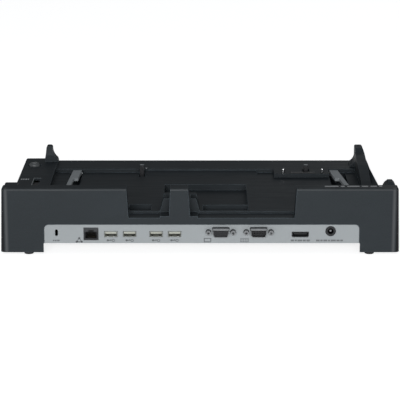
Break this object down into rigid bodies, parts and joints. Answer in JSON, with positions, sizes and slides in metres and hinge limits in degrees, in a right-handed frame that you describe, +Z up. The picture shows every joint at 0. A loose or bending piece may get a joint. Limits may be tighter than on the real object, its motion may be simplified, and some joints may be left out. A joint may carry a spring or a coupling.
{
  "type": "laptop docking station",
  "caption": "Laptop port replicator: tray with tall notched rear wall, port panel, guide posts, docking connector, sprung lift arms, latch hooks and a side release lever.",
  "frame": {"origin": "centre of the whole outline in plan, on the surface the rubber feet stand on", "axes": "+X to the right seen from the ports (the long side), +Y from the port panel to the user's edge, +Z up"},
  "size_m": [0.4044, 0.2246, 0.0705],
  "materials": {
    "case": "fine textured charcoal",
    "base": "textured black",
    "panel": "satin light grey",
    "pad": "satin mid grey",
    "black_plastic": "satin black",
    "pale_plastic": "satin ivory",
    "steel": "plated steel",
    "rubber": "matt black",
    "board": "green laminate",
    "button": "satin grey",
    "cable": "flat ribbon"
  },
  "bodies": {
    "dock": {"upper_case": "case", "base_cover": "base", "port_panel": "panel", "lock_slot_plate": "steel", "lan_jack": "black_plastic", "usb_port_1": "steel", "usb_port_2": "steel", "usb_port_3": "steel", "usb_port_4": "steel", "usb_tongue_1": "pale_plastic", "usb_tongue_2": "pale_plastic", "usb_tongue_3": "pale_plastic", "usb_tongue_4": "pale_plastic", "vga_shell": "steel", "vga_insert": "black_plastic", "vga_jackscrew_left": "steel", "vga_jackscrew_right": "steel", "serial_shell": "steel", "serial_insert": "black_plastic", "serial_jackscrew_left": "steel", "serial_jackscrew_right": "steel", "video_socket": "black_plastic", "video_tongue": "black_plastic", "dc_jack": "black_plastic", "dc_jack_pin": "steel", "main_board": "board", "dock_connector_carrier": "case", "dock_connector_insert": "black_plastic", "guide_pin_left": "steel", "guide_pin_right": "steel", "dock_board": "board", "flat_cable": "cable", "guide_post_left": "case", "guide_post_right": "case", "lift_pin_left": "steel", "lift_pin_right": "steel", "lift_spring_left": "steel", "lift_spring_right": "steel", "lever_spring": "steel", "button_spring": "steel", "button_board": "board", "tact_switch": "black_plastic", "case_screw_1": "steel", "case_screw_2": "steel", "case_screw_3": "steel", "case_screw_4": "steel", "rubber_foot_1": "rubber", "rubber_foot_2": "rubber", "rubber_foot_3": "rubber", "rubber_foot_4": "rubber"},
    "power_button": {"power_button": "button"},
    "release_lever": {"release_lever": "case", "lever_shaft": "steel"},
    "latch": {"latch_slide": "steel", "latch_hook_left": "black_plastic", "latch_hook_right": "black_plastic"},
    "lock_slider": {"lock_slider": "black_plastic"},
    "lift_arm_left": {"lift_arm_left": "pad"},
    "lift_arm_right": {"lift_arm_right": "pad"}
  },
  "joints": [
    {"name": "power_button_press", "type": "slide", "parent": "dock", "child": "power_button", "axis": [0, 0, -1], "range_m": [0, 0.0015], "stiffness_N_per_m": 400, "springref_m": -0.002, "deforming": ["button_spring"]},
    {"name": "release_lever_lift", "type": "hinge", "parent": "dock", "child": "release_lever", "pos_m": [0.186, 0.00225, 0.033], "axis": [-1, 0, 0], "range_deg": [0, 22], "stiffness_Nm_per_rad": 0.5, "springref_deg": -17.19},
    {"name": "latch_travel", "type": "slide", "parent": "dock", "child": "latch", "axis": [0, -1, 0], "range_m": [0, 0.0045]},
    {"name": "lock_slider_travel", "type": "slide", "parent": "dock", "child": "lock_slider", "axis": [0, 1, 0], "range_m": [0, 0.006]},
    {"name": "lift_arm_left_press", "type": "hinge", "parent": "dock", "child": "lift_arm_left", "pos_m": [-0.1355, 0.06785, 0.041], "axis": [1, 0, 0], "range_deg": [0, 5], "stiffness_Nm_per_rad": 0.8, "springref_deg": -8.59, "deforming": ["lift_spring_left"]},
    {"name": "lift_arm_right_press", "type": "hinge", "parent": "dock", "child": "lift_arm_right", "pos_m": [0.1475, 0.06785, 0.041], "axis": [1, 0, 0], "range_deg": [0, 5], "stiffness_Nm_per_rad": 0.8, "springref_deg": -8.59, "deforming": ["lift_spring_right"]}
  ],
  "couplings": [
    {"joint": "latch_travel", "follows": "release_lever_lift", "m_per_rad": 0.0115}
  ]
}
